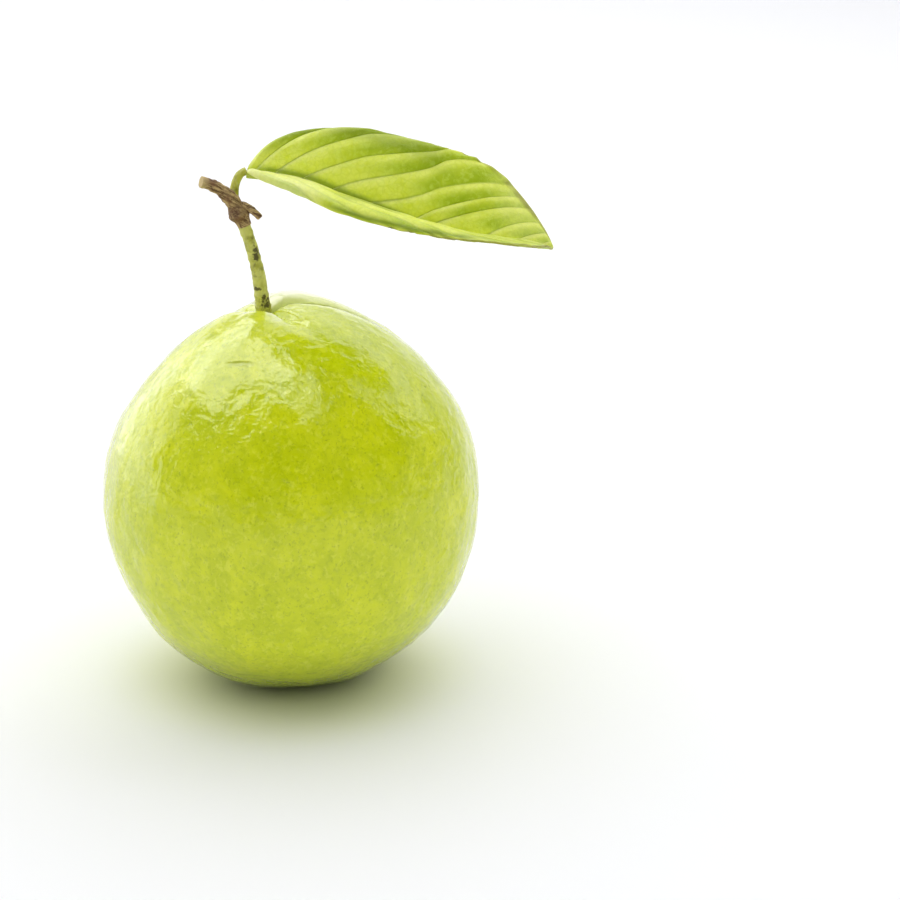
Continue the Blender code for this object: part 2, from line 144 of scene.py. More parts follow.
# Brown scuffs of the fruit stalk: middle, and half sizes along the axes
STALK_MARKS = (
    ((-7.0, -1.4, 113.6), (1.0, 1.6, 2.4)),
    ((-4.7, -1.4, 100.6), (1.8, 1.8, 2.8)),
    ((-7.0, -1.6, 104.6), (1.3, 1.2, 0.7)),
    ((-5.2, -1.5, 102.6), (0.9, 1.2, 0.9)),
)

# The dark knot of the twig: its middle and how far it reaches, in millimetres
KNOT_PLACE = (-11.4, -0.2, 124.4)
KNOT_REACH = 3.4

# Leaf, as in the solids
LEAF_MIDRIB = (
    (-9.0, 2.8, 134.0),
    (4.0, 1.2, 132.4),
    (15.1, 0.0, 128.4),
    (28.8, -1.0, 123.5),
    (36.4, -1.2, 120.7),
    (45.8, -0.8, 118.0),
    (56.5, 0.6, 116.0),
    (67.4, 2.6, 114.2),
)
LEAF_HALF_WIDTHS = (
    (0.00, 0.8),
    (0.04, 5.0),
    (0.09, 9.4),
    (0.17, 14.3),
    (0.31, 19.4),
    (0.46, 21.2),
    (0.60, 21.9),
    (0.72, 21.4),
    (0.83, 18.2),
    (0.92, 10.0),
    (0.97, 3.8),
    (1.00, 0.4),
)
FAR_HALF_SLOPES = ((0.0, 58.0), (0.5, 61.0), (1.0, 62.0))
FAR_HALF_BEND = -16.0
FAR_MARGIN_ROLL = -8.0
NEAR_HALF_SLOPES = (
    (0.0, 14.0), (0.1, 9.5), (0.18, 10.5), (0.32, 13.0), (0.5, 17.5), (0.65, 19.0), (1.0, 19.0)
)
NEAR_HALF_BEND = -10.0
NEAR_MARGIN_ROLLS = ((0.0, -42.0), (0.4, -42.0), (0.6, -34.0), (0.76, -14.0), (1.0, -6.0))
ROLL_START = 0.76
BEND_STEPS = 12
VEIN_ROOTS = (0.0, 0.03, 0.08, 0.15, 0.245, 0.34, 0.485, 0.56, 0.76, 0.86, 0.94, 1.0)
VEIN_ENDS = (0.0, 0.25, 0.40, 0.61, 0.73, 0.86, 0.895, 0.92, 0.95, 0.972, 0.99, 1.0)
VEIN_TURN = 1.8
ROW_SPREAD = 0.8
PILLOW_HEIGHT = 0.9 * MM
PILLOW_LEAN = 0.75
MIDRIB_RADII = (1.05 * MM, 0.40 * MM)
MIDRIB_DROPS = ((0.0, 0.85), (0.2, 0.75), (0.34, 0.25), (0.7, 0.2), (1.0, 0.5))
BLADE_THICKNESS = 0.5 * MM
LINES_PER_VEIN = 20
CELLS_ACROSS = 56

# Calyx, as in the solids
SEPALS = 5
SEPAL_LENGTH = 3.6 * MM
SEPAL_RISE = 4.4 * MM
CALYX_THICKNESS = 0.8 * MM
CALYX_DISC_RADIUS = 2.5 * MM
CALYX_GAP = 0.3 * MM

# The camera: its elevation, lens and sensor, and the picture's and the fruit's widths in pixels
CAMERA_ELEVATION = math.radians(20)
LENS = 100.0
SENSOR = 36.0
PICTURE_PIXELS = 900
FRUIT_PIXELS = 370
PIXEL = 2 * FRUIT_RADIUS / FRUIT_PIXELS

# How far the middle of the picture is to the right of the fruit's middle and above it, in pixels
PICTURE_SHIFT = (160, 38)


# Curves and tables


def smooth_step(value):
    value = min(max(value, 0.0), 1.0)
    return value * value * (3 - 2 * value)


def bell(distance, spread):
    return math.exp(-((distance / spread) ** 2))


def angle_between(first, second):
    """The smallest angle between two azimuths, in degrees."""
    return (first - second + 180) % 360 - 180


def through(points, share):
    """The point at a share of the way along a smooth curve through evenly shared points."""
    spans = len(points) - 1
    place = min(max(share, 0.0), 1.0) * spans
    index = min(int(place), spans - 1)
    t = place - index
    a = points[max(index - 1, 0)]
    b = points[index]
    c = points[index + 1]
    d = points[min(index + 2, spans)]
    square = (2 * a - 5 * b + 4 * c - d) * t * t
    cube = (3 * b - a - 3 * c + d) * t**3
    return 0.5 * (2 * b + (c - a) * t + square + cube)


def between_rows(rows, place):
    """The value at a place in a table of (place, value), on a smooth curve through its rows."""
    index = 0
    while index < len(rows) - 2 and place > rows[index + 1][0]:
        index += 1
    (start, low), (end, high) = rows[index], rows[index + 1]
    before = rows[max(index - 1, 0)]
    after = rows[min(index + 2, len(rows) - 1)]
    t = (place - start) / (end - start)
    slope_in = (high - before[1]) / (end - before[0]) * (end - start)
    slope_out = (after[1] - low) / (after[0] - start) * (end - start)
    value = (2 * t**3 - 3 * t**2 + 1) * low + (t**3 - 2 * t**2 + t) * slope_in
    return value + (3 * t**2 - 2 * t**3) * high + (t**3 - t**2) * slope_out


def sheet_object(name, made):
    """A smooth shaded object from a bmesh."""
    mesh = bpy.data.meshes.new(name)
    made.to_mesh(mesh)
    made.free()
    mesh.shade_smooth()
    placed = bpy.data.objects.new(name, mesh)
    bpy.context.scene.collection.objects.link(placed)
    return placed


def as_plain_mesh(placed):
    """Turns an object's modifiers into plain mesh, and drops them."""
    bpy.context.view_layer.update()
    mesh = bpy.data.meshes.new_from_object(placed.evaluated_get(bpy.context.evaluated_depsgraph_get()))
    name = placed.name
    collection = placed.users_collection[0]
    bpy.data.objects.remove(placed)
    mesh.name = name
    mesh.shade_smooth()
    plain = bpy.data.objects.new(name, mesh)
    collection.objects.link(plain)
    return plain


# Node helpers, for materials and for Geometry Nodes alike


def node(tree, kind, feeds=None, **settings):
    """Adds a node. A feed is a socket to link or a value, by the input's name or number."""
    made = tree.nodes.new(kind)
    for name, value in settings.items():
        setattr(made, name, value)
    for name, feed in (feeds or {}).items():
        if isinstance(feed, bpy.types.NodeSocket):
            tree.links.new(feed, made.inputs[name])
        else:
            made.inputs[name].default_value = feed
    return made


def sums(tree, operation, first, second=0.0, third=0.0, clamp=False):
    """A Math node's result."""
    return node(
        tree, "ShaderNodeMath", {0: first, 1: second, 2: third}, operation=operation, use_clamp=clamp
    ).outputs[0]


def vector_sums(tree, operation, first, second=(0, 0, 0), scale=1.0):
    made = node(tree, "ShaderNodeVectorMath", {0: first, 1: second, 3: scale}, operation=operation)
    return made.outputs["Value" if operation in ("LENGTH", "DOT_PRODUCT", "DISTANCE") else "Vector"]


def grain(tree, where, size, detail=2.0, roughness=0.5, distortion=0.0, offset=0.0):
    """Noise from 0 to 1 whose spots are about one size, in metres."""
    made = node(
        tree,
        "ShaderNodeTexNoise",
        {
            "Vector": where,
            "Scale": 1 / size,
            "Detail": detail,
            "Roughness": roughness,
            "Distortion": distortion,
            "W": offset,
        },
        noise_dimensions="4D",
    )
    return made.outputs[0]


def spots(tree, where, size, feature="F1"):
    """The distance to the nearest of scattered points about one size apart, in shares of that size."""
    made = node(tree, "ShaderNodeTexVoronoi", {"Vector": where, "Scale": 1 / size}, feature=feature)
    return made.outputs["Distance"]


def ramp(tree, value, *stops):
    """A value put through (place, level) stops."""
    made = node(tree, "ShaderNodeValToRGB", {0: value})
    made.color_ramp.interpolation = "EASE"
    elements = made.color_ramp.elements
    while len(elements) < len(stops):
        elements.new(0.5)
    for element, (place, level) in zip(elements, stops):
        element.position = place
        element.color = (level, level, level, 1) if isinstance(level, (int, float)) else (*level, 1)
    return made.outputs[0]


def rising_share(tree, value, start, end, top=1.0, smooth=False):
    """A share that goes from 0 at one value to its top at another."""
    feeds = {"Value": value, "From Min": start, "From Max": end, "To Max": top}
    return node(
        tree, "ShaderNodeMapRange", feeds, interpolation_type="SMOOTHSTEP" if smooth else "LINEAR"
    ).outputs[0]


def blend(tree, share, first, second):
    """One colour laid over another."""
    made = node(tree, "ShaderNodeMix", data_type="RGBA")
    for index, feed in ((0, share), (6, first), (7, second)):
        if isinstance(feed, bpy.types.NodeSocket):
            tree.links.new(feed, made.inputs[index])
        elif index:
            made.inputs[index].default_value = (*feed, 1)
        else:
            made.inputs[index].default_value = feed
    return made.outputs[2]


def painted(tree, name):
    """The share that a mesh holds at each of its points under a name."""
    return node(tree, "ShaderNodeAttribute", attribute_name=name).outputs["Fac"]


def relief(tree, height, distance, strength=1.0, under=None):
    feeds = {"Height": height, "Distance": distance, "Strength": strength}
    if under:
        feeds["Normal"] = under
    return node(tree, "ShaderNodeBump", feeds).outputs[0]


def srgb(*levels):
    """Linear colour from 0 to 255 screen levels."""
    return tuple((v / 255 / 12.92) if v <= 10 else ((v / 255 + 0.055) / 1.055) ** 2.4 for v in levels)


def finish_material(name, **constants):
    """A new material: its tree, its shader and its Object coordinates."""
    made = bpy.data.materials.new(name)
    made.use_nodes = True
    tree = made.node_tree
    shader = tree.nodes["Principled BSDF"]
    for socket, value in constants.items():
        shader.inputs[socket.replace("_", " ")].default_value = value
    where = tree.nodes.new("ShaderNodeTexCoord").outputs["Object"]
    return made, tree, shader, where


def growth_tree(name, inputs):
    """A Geometry Nodes tree with named number inputs. Returns it, its geometry and the inputs by name."""
    tree = bpy.data.node_groups.new(name, "GeometryNodeTree")
    tree.interface.new_socket("Geometry", in_out="INPUT", socket_type="NodeSocketGeometry")
    tree.interface.new_socket("Geometry", in_out="OUTPUT", socket_type="NodeSocketGeometry")
    for label, value in inputs.items():
        kind = "NodeSocketInt" if isinstance(value, int) else "NodeSocketFloat"
        tree.interface.new_socket(label, in_out="INPUT", socket_type=kind)
    given = tree.nodes.new("NodeGroupInput")
    return tree, given.outputs["Geometry"], {label: given.outputs[label] for label in inputs}


def close_growth(tree, geometry, material):
    """Ends a tree in Realize Instances and Set Material."""
    whole = node(tree, "GeometryNodeRealizeInstances", {0: geometry}).outputs[0]
    clad = node(tree, "GeometryNodeSetMaterial", {"Geometry": whole, "Material": material}).outputs[0]
    tree.links.new(clad, tree.nodes.new("NodeGroupOutput").inputs[0])


def grow(placed, tree, inputs):
    """Runs a tree on an object with its named inputs set, and returns the result as plain mesh."""
    step = placed.modifiers.new(tree.name, "NODES")
    step.node_group = tree
    for item in tree.interface.items_tree:
        if item.in_out == "INPUT" and item.name in inputs:
            step[item.identifier] = inputs[item.name]
    return as_plain_mesh(placed)


# Fruit


def lean(end_lean, direction):
    """A direction, turned by an end's lean from the vertical."""
    turn_x = Matrix.Rotation(math.radians(end_lean[0]), 3, "Y")
    turn_y = Matrix.Rotation(math.radians(-end_lean[1]), 3, "X")
    return turn_x @ (turn_y @ direction)


def fruit_direction(polar, azimuth):
    share = smooth_step(polar / math.pi)
    bend = [a + (b - a) * share for a, b in zip(STEM_END_LEAN, (-x for x in BLOSSOM_END_LEAN))]
    upright = Vector(
        (math.sin(polar) * math.cos(azimuth), math.sin(polar) * math.sin(azimuth), math.cos(polar))
    )
    return lean(bend, upright)


def folds_height(folds, polar_deg, azimuth_deg):
    """How high lobes stand, and how deep furrows or creases between them lie, round the stalk."""
    height = 0.0
    for where, tall, wide, peak in folds:
        reach = polar_deg / peak
        height += tall * bell(angle_between(azimuth_deg, where), wide) * reach * math.exp(1 - reach)
    return height


def bloom_and_sheen_share(polar_deg, azimuth_deg):
    """How pale the skin is with waxy bloom, and with painted sheen on the crown lobes."""
    share = 0.0
    for where, wide, far, deep, strength in BLOOM_AND_SHEEN_SPOTS:
        share += strength * bell(angle_between(azimuth_deg, where), wide) * bell(polar_deg - far, deep)
    return share


def fruit_radius(polar, azimuth, direction):
    polar_deg = math.degrees(polar)
    from_blossom = 180 - polar_deg
    upper = max(math.cos(polar), 0.0)
    lower = max(-math.cos(polar), 0.0)
    radius = FRUIT_RADIUS + STEM_END_RISE * upper**2 + BLOSSOM_END_RISE * lower**2
    radius -= STALK_PIT[0] * bell(polar_deg, STALK_PIT[1])
    radius += folds_height(CROWN_FOLDS + CROWN_CREASES, polar_deg, math.degrees(azimuth))
    radius -= BLOSSOM_BASIN[0] * bell(from_blossom, BLOSSOM_BASIN[1])
    radius += BLOSSOM_RIM[0] * bell(from_blossom - BLOSSOM_RIM[1], BLOSSOM_RIM[2])
    ribs, rib_height, rib_place = BLOSSOM_RIBS
    radius += rib_height * math.cos(ribs * azimuth) * bell(from_blossom - rib_place, rib_place / 2)
    for towards, height, spread in SWELLINGS:
        radius += height * bell(math.degrees(direction.angle(Vector(towards))), spread)
    place = direction * FRUIT_RADIUS / WAVE_LENGTH
    return radius + WAVE_HEIGHT * noise.noise(place) * smooth_step(from_blossom / 24)


def flatten_foot(height):
    soft = FLAT_SPOT_SOFTNESS
    if height >= soft:
        return height
    return 0.0 if height <= -soft else (height + soft) ** 2 / (4 * soft)


def fruit_point(polar, azimuth):
    direction = fruit_direction(polar, azimuth)
    point = FRUIT_CENTRE + direction * fruit_radius(polar, azimuth, direction)
    point.z = flatten_foot(point.z)
    return point


def ring_angle(share):
    """The polar angle of a ring, with more rings near both ends."""
    return math.pi * share - RING_CROWDING * math.sin(4 * math.pi * share)


def skin_relief_tree(material):
    """Lumps, pebbles and drawn-out ripples, pushed along the skin's normals and faded out at the foot."""
    sizes = {
        "Lump Size": 0.0,
        "Lump Height": 0.0,
        "Pebble Size": 0.0,
        "Pebble Height": 0.0,
        "Ripple Size": 0.0,
        "Ripple Height": 0.0,
        "Ripple Stretch": 0.0,
        "Seed": 0,
    }
    tree, body, given = growth_tree("skin_relief", sizes)
    where = node(tree, "GeometryNodeInputPosition").outputs[0]
    normal = node(tree, "GeometryNodeInputNormal").outputs[0]

    def wave(size, place, detail, turn):
        scale = sums(tree, "DIVIDE", 1.0, size)
        offset = sums(tree, "ADD", given["Seed"], turn)
        feeds = {"Vector": place, "Scale": scale, "Detail": detail, "W": offset, "Roughness": 0.45}
        level = node(tree, "ShaderNodeTexNoise", feeds, noise_dimensions="4D").outputs[0]
        return sums(tree, "SUBTRACT", level, 0.5)

    squeeze = node(tree, "ShaderNodeCombineXYZ", {0: 1.0, 1: 1.0, 2: given["Ripple Stretch"]}).outputs[0]
    drawn = vector_sums(tree, "MULTIPLY", where, squeeze)
    lumps = sums(tree, "MULTIPLY", wave(given["Lump Size"], where, 2.0, 0.3), given["Lump Height"])
    pebbles = sums(tree, "MULTIPLY", wave(given["Pebble Size"], where, 1.5, 3.7), given["Pebble Height"])
    ripples = sums(tree, "MULTIPLY", wave(given["Ripple Size"], drawn, 1.0, 8.1), given["Ripple Height"])
    total = sums(tree, "ADD", sums(tree, "ADD", lumps, pebbles), ripples)
    height = node(tree, "ShaderNodeSeparateXYZ", {0: where}).outputs[2]
    fade = rising_share(tree, height, 0.4 * MM, 6 * MM, smooth=True)
    push = vector_sums(tree, "SCALE", normal, scale=sums(tree, "MULTIPLY", total, fade))
    raised = node(tree, "GeometryNodeSetPosition", {"Geometry": body, "Offset": push}).outputs[0]
    close_growth(tree, raised, material)
    return tree


def along_axes(x, y, z):
    """The ways of a mark that lies along the axes, from its half sizes in millimetres."""
    return (1 / x, 0, 0), (0, 1 / y, 0), (0, 0, 1 / z)


def near_mark(tree, where, place, ways):
    """How far a point is from a mark's middle, as a share of its half sizes: 1 at its edge."""
    off = vector_sums(tree, "SUBTRACT", where, tuple(Vector(place) * MM))
    shares = {
        i: vector_sums(tree, "DOT_PRODUCT", off, tuple(Vector(way) / MM)) for i, way in enumerate(ways)
    }
    return vector_sums(tree, "LENGTH", node(tree, "ShaderNodeCombineXYZ", shares).outputs[0])


def guava_skin():
    """Waxy yellow-green skin: soft mottling, pale flecks, small darker pores, a bloom by the stalk that is
    partly painted sheen, painted sheen on the crown top, and painted shade at the foot, in the creases and,
    with a deeper green, on the far side.
    """
    made, tree, shader, where = finish_material(
        "guava_skin", Specular_IOR_Level=0.5, Coat_Weight=0.3, Coat_Roughness=0.06, Coat_IOR=1.45, IOR=1.45
    )
    clouds = grain(tree, where, 17 * MM, 2, 0.5, 0.4)
    colour = blend(tree, ramp(tree, clouds, (0.38, 0), (0.62, 1)), srgb(214, 227, 4), srgb(224, 234, 16))
    patches = grain(tree, where, 7 * MM, 3, 0.55, 0.8, 2.0)
    colour = blend(tree, ramp(tree, patches, (0.38, 0.6), (0.62, 0.0)), colour, srgb(196, 212, 2))
    flecks_way = vector_sums(tree, "MULTIPLY", where, (1.0, 1.0, 0.8))
    flecks = grain(tree, flecks_way, 1.4 * MM, 3, 0.6, 0.5, 5.0)
    colour = blend(tree, ramp(tree, flecks, (0.50, 0), (0.66, 0.5)), colour, srgb(236, 243, 66))
    darks = grain(tree, flecks_way, 1.3 * MM, 3, 0.6, 0.6, 9.0)
    colour = blend(tree, ramp(tree, darks, (0.50, 0), (0.68, 0.55)), colour, srgb(184, 202, 2))
    jitter = node(
        tree, "ShaderNodeTexNoise", {"Vector": where, "Scale": 1 / (1.1 * MM), "Detail": 2.0}
    ).outputs["Color"]
    shaken = vector_sums(tree, "ADD", flecks_way, vector_sums(tree, "SCALE", jitter, scale=1.3 * MM))
    pores = ramp(tree, spots(tree, shaken, 2.1 * MM), (0.06, 0.5), (0.24, 0.0))
    kept = ramp(tree, grain(tree, where, 6 * MM, 2, 0.6, 0, 15.0), (0.46, 0), (0.62, 1))
    colour = blend(tree, sums(tree, "MULTIPLY", pores, kept), colour, srgb(160, 178, 6))
    specks = ramp(tree, grain(tree, shaken, 0.6 * MM, 2, 0.5, 0.0, 17.0), (0.60, 0), (0.72, 0.55))
    colour = blend(tree, specks, colour, srgb(158, 176, 4))
    sides = node(tree, "ShaderNodeSeparateXYZ", {0: where}).outputs
    # Darker towards the far side: partly a deeper green, partly painted shade that keeps that side from
    # washing out under the lamps behind
    far_side_green_and_shade = rising_share(tree, sides[1], 4 * MM, 40 * MM, 0.7)
    colour = blend(tree, far_side_green_and_shade, colour, srgb(140, 162, 8))
    height = sides[2]
    # Painted sheen: paler towards the top of the crown
    high = rising_share(tree, height, 96 * MM, 104 * MM, 0.35)
    colour = blend(tree, high, colour, srgb(234, 240, 110))
    # Painted shade: darker towards the foot, above the fruit's own shadow on the floor
    low = rising_share(tree, height, 22 * MM, 0.0)
    colour = blend(tree, low, colour, srgb(122, 142, 0))
    # Paler with waxy bloom by the stalk, partly painted sheen on the crown lobes
    bloom = painted(tree, "bloom")
    colour = blend(tree, bloom, colour, srgb(249, 251, 214))
    # Painted shade in the crown's creases, darker where a crease is deeper
    furrow = painted(tree, "furrow")
    colour = blend(tree, ramp(tree, furrow, (0.16, 0), (0.85, 0.9)), colour, srgb(142, 150, 26))
    scar = near_mark(tree, where, SCAR_PLACE, SCAR_WAYS)
    colour = blend(tree, ramp(tree, scar, (0.2, 0.5), (1.0, 0.0)), colour, srgb(172, 184, 30))
    tree.links.new(colour, shader.inputs["Base Color"])
    rough = ramp(tree, grain(tree, where, 4 * MM, 3, 0.6, 0, 20.0), (0.3, 0.08), (0.7, 0.17))
    tree.links.new(rough, shader.inputs["Roughness"])
    dent = relief(tree, ramp(tree, scar, (0.1, 0.0), (1.0, 1.0)), 0.36 * MM, 0.8)
    swells = relief(tree, grain(tree, where, 3.8 * MM, 2, 0.5, 0.5, 23.0), 0.75 * MM, 0.75, dent)
    bumps = relief(tree, grain(tree, where, 1.8 * MM, 3, 0.55, 0.6, 25.0), 0.26 * MM, 0.6, swells)
    fine = relief(tree, grain(tree, where, 0.7 * MM, 2, 0.5, 0, 27.0), 0.03 * MM, 0.5, bumps)
    tree.links.new(fine, shader.inputs["Normal"])
    return made


def make_fruit():
    made = bmesh.new()
    bmesh.ops.create_uvsphere(made, u_segments=SKIN_SEGMENTS, v_segments=SKIN_RINGS, radius=1)
    crease_shade_layer = made.verts.layers.float.new("furrow")
    bloom_and_sheen_layer = made.verts.layers.float.new("bloom")
    for vertex in made.verts:
        polar = ring_angle(math.acos(min(max(vertex.co.z, -1.0), 1.0)) / math.pi)
        azimuth = math.atan2(vertex.co.y, vertex.co.x)
        creased = folds_height(CROWN_CREASES, math.degrees(polar), math.degrees(azimuth))
        # Share of painted shade from the crown's creases
        vertex[crease_shade_layer] = max(-creased, 0.0) / CREASE_SHADE_DEPTH
        vertex[bloom_and_sheen_layer] = bloom_and_sheen_share(math.degrees(polar), math.degrees(azimuth))
        vertex.co = fruit_point(polar, azimuth)
    body = sheet_object("guava_fruit", made)
    sizes = {
        "Lump Size": 9 * MM,
        "Lump Height": 0.7 * MM,
        "Pebble Size": 3.2 * MM,
        "Pebble Height": 0.28 * MM,
        "Ripple Size": 5 * MM,
        "Ripple Height": 0.35 * MM,
        "Ripple Stretch": 0.35,
        "Seed": 4,
    }
    return grow(body, skin_relief_tree(guava_skin()), sizes)


# Stalks and twig


def path_object(name, line):
    """A curve along a line of (point, radius) in millimetres."""
    curve = bpy.data.curves.new(name, "CURVE")
    curve.dimensions = "3D"
    points = [Vector((*place, radius)) for place, radius in line]
    steps = (len(points) - 1) * 8
    spline = curve.splines.new("POLY")
    spline.points.add(steps)
    for index in range(steps + 1):
        place = through(points, index / steps)
        spline.points[index].co = (*(place.to_3d() * MM), 1)
        spline.points[index].radius = place.w
    placed = bpy.data.objects.new(name, curve)
    bpy.context.scene.collection.objects.link(placed)
    return placed


def stem_tree(name, material):
    """A stem grown along a path: rings and knots along it, ridges and pits round it."""
    inputs = {
        "Step": 0.0,
        "Sides": 3,
        "Ridge Height": 0.0,
        "Ridge Size": 0.0,
        "Stretch": 0.0,
        "Knot Height": 0.0,
        "Knot Size": 0.0,
        "Seed": 0,
    }
    tree, path, given = growth_tree(name, inputs)
    even = node(
        tree, "GeometryNodeResampleCurve", {"Curve": path, "Length": given["Step"]}, mode="LENGTH"
    ).outputs[0]
    share = node(tree, "GeometryNodeSplineParameter").outputs["Length"]
    knot_scale = sums(tree, "DIVIDE", 1.0, given["Knot Size"])
    feeds = {"W": sums(tree, "ADD", share, given["Seed"]), "Scale": knot_scale, "Detail": 2.0}
    knots = node(tree, "ShaderNodeTexNoise", feeds, noise_dimensions="1D").outputs[0]
    width = node(tree, "GeometryNodeInputRadius").outputs[0]
    swell = sums(tree, "MULTIPLY_ADD", sums(tree, "SUBTRACT", knots, 0.5), given["Knot Height"], 1.0)
    scale = sums(tree, "MULTIPLY", sums(tree, "MULTIPLY", width, swell), MM)
    ring = node(
        tree, "GeometryNodeCurvePrimitiveCircle", {"Resolution": given["Sides"], "Radius": 1.0}
    ).outputs[0]
    sweep = node(tree, "GeometryNodeCurveToMesh", {"Curve": even, "Profile Curve": ring, "Fill Caps": True})
    if "Scale" in sweep.inputs:
        tree.links.new(scale, sweep.inputs["Scale"])
    tube = node(
        tree, "GeometryNodeMergeByDistance", {"Geometry": sweep.outputs[0], "Distance": 0.001 * MM}
    ).outputs[0]
    where = node(tree, "GeometryNodeInputPosition").outputs[0]
    squeeze = node(tree, "ShaderNodeCombineXYZ", {0: 1.0, 1: 1.0, 2: given["Stretch"]}).outputs[0]
    drawn = vector_sums(tree, "MULTIPLY", where, squeeze)
    ridge_scale = sums(tree, "DIVIDE", 1.0, given["Ridge Size"])
    feeds = {"Vector": drawn, "Scale": ridge_scale, "Detail": 3.0, "W": given["Seed"]}
    ridges = node(tree, "ShaderNodeTexNoise", feeds, noise_dimensions="4D").outputs[0]
    lift = sums(tree, "MULTIPLY", sums(tree, "SUBTRACT", ridges, 0.5), given["Ridge Height"])
    normal = node(tree, "GeometryNodeInputNormal").outputs[0]
    push = vector_sums(tree, "SCALE", normal, scale=lift)
    raised = node(tree, "GeometryNodeSetPosition", {"Geometry": tube, "Offset": push}).outputs[0]
    close_growth(tree, raised, material)
    return tree


def green_stalk_skin(name, light, dark, seam, marks):
    """Green stalk: lighter and darker patches, brown scuffs and small scars across it."""
    made, tree, shader, where = finish_material(name, Specular_IOR_Level=0.45)
    clouds = grain(tree, where, 3.5 * MM, 3, 0.6, 0.5)
    colour = blend(tree, ramp(tree, clouds, (0.38, 0), (0.62, 1)), dark, light)
    along = vector_sums(tree, "MULTIPLY", where, (1.0, 1.0, 0.22))
    streaks = grain(tree, along, 0.6 * MM, 3, 0.6, 0.0, 3.0)
    colour = blend(tree, ramp(tree, streaks, (0.45, 0), (0.75, 0.6)), colour, srgb(196, 198, 128))
    scuffs = ramp(tree, grain(tree, where, 2.8 * MM, 3, 0.65, 0.4, 6.0), (0.52, 0), (0.70, 0.6))
    colour = blend(tree, scuffs, colour, seam)
    ragged = sums(tree, "SUBTRACT", grain(tree, where, 0.9 * MM, 3, 0.6, 0.4, 12.0), 0.5)
    for spot, half in marks:
        off = near_mark(tree, where, spot, along_axes(*half))
        off = sums(tree, "MULTIPLY_ADD", ragged, 3.2, off)
        colour = blend(tree, ramp(tree, off, (0.3, 0.92), (1.0, 0.0)), colour, seam)
    tree.links.new(colour, shader.inputs["Base Color"])
    tree.links.new(ramp(tree, streaks, (0.3, 0.42), (0.7, 0.66)), shader.inputs["Roughness"])
    bumps = relief(tree, streaks, 0.12 * MM, 0.6)
    tree.links.new(
        relief(tree, grain(tree, where, 0.35 * MM, 2, 0.5, 0, 8.0), 0.05 * MM, 0.6, bumps),
        shader.inputs["Normal"],
    )
    return made


def twig_bark():
    """Grey-brown bark with pale fibres, dark cracks and a darker knot; the cut end is paler wood."""
    made, tree, shader, where = finish_material("twig_bark", Specular_IOR_Level=0.3)
    grown = Vector((-0.84, -0.25, 0.48)).normalized()
    shift = vector_sums(
        tree, "SCALE", tuple(grown), scale=vector_sums(tree, "DOT_PRODUCT", where, tuple(grown * 0.82))
    )
    along = vector_sums(tree, "SUBTRACT", where, shift)
    fibres = grain(tree, along, 0.7 * MM, 4, 0.6, 0.5)
    colour = blend(tree, ramp(tree, fibres, (0.36, 0), (0.64, 1)), srgb(88, 60, 32), srgb(200, 172, 116))
    clouds = grain(tree, where, 2.4 * MM, 3, 0.6, 0.6, 4.0)
    colour = blend(tree, ramp(tree, clouds, (0.46, 0), (0.66, 0.7)), colour, srgb(118, 82, 50))
    cracks = ramp(tree, grain(tree, along, 0.9 * MM, 4, 0.65, 0.8, 7.0), (0.56, 0), (0.66, 0.85))
    colour = blend(tree, cracks, colour, srgb(54, 36, 22))
    knot = near_mark(tree, where, KNOT_PLACE, along_axes(KNOT_REACH, KNOT_REACH, KNOT_REACH))
    colour = blend(tree, ramp(tree, knot, (0.6, 0.7), (1.0, 0.0)), colour, srgb(88, 56, 36))
    cut = Vector(TWIG_LINE[-1][0]) * MM
    far = vector_sums(tree, "DISTANCE", where, tuple(cut))
    pale = rising_share(tree, far, 2.3 * MM, 1.3 * MM, 0.8)
    colour = blend(tree, pale, colour, srgb(206, 184, 124))
    tree.links.new(colour, shader.inputs["Base Color"])
    tree.links.new(ramp(tree, fibres, (0.3, 0.6), (0.7, 0.85)), shader.inputs["Roughness"])
    bumps = relief(tree, fibres, 0.2 * MM, 0.9)
    tree.links.new(
        relief(tree, grain(tree, where, 0.3 * MM, 2, 0.5, 0, 8.0), 0.06 * MM, 0.7, bumps),
        shader.inputs["Normal"],
    )
    return made


def grow_stem(name, line, material, step, sides, ridge, ridge_size, stretch, knot, knot_size, seed):
    tree = stem_tree(name + "_growth", material)
    values = {
        "Step": step,
        "Sides": sides,
        "Ridge Height": ridge,
        "Ridge Size": ridge_size,
        "Stretch": stretch,
        "Knot Height": knot,
        "Knot Size": knot_size,
        "Seed": seed,
    }
    return grow(path_object(name, line), tree, values)


def join_pieces(name, pieces):
    """Fuses closed pieces into the first one by a Boolean union each."""
    first = pieces[0]
    for other in pieces[1:]:
        step = first.modifiers.new("fuse", "BOOLEAN")
        step.operation = "UNION"
        step.object = other
        step.solver = "EXACT"
        first = as_plain_mesh(first)
        bpy.data.objects.remove(other)
    first.name = name
    return first


def make_stalk():
    skin = green_stalk_skin(
        "stalk_green", srgb(210, 210, 104), srgb(168, 168, 50), srgb(72, 64, 18), STALK_MARKS
    )
    return grow_stem(
        "fruit_stalk", STALK_LINE, skin, 0.22 * MM, 40, 0.22 * MM, 0.9 * MM, 0.25, 0.35, 2.2 * MM, 2
    )


def make_twig():
    bark = twig_bark()
    wood = grow_stem(
        "woody_twig", TWIG_LINE, bark, 0.2 * MM, 48, 0.42 * MM, 0.9 * MM, 0.5, 0.5, 2.6 * MM, 5
    )
    stub = grow_stem("stub", STUB_LINE, bark, 0.2 * MM, 28, 0.3 * MM, 0.7 * MM, 0.6, 0.6, 1.4 * MM, 9)
    return join_pieces("woody_twig", [wood, stub])


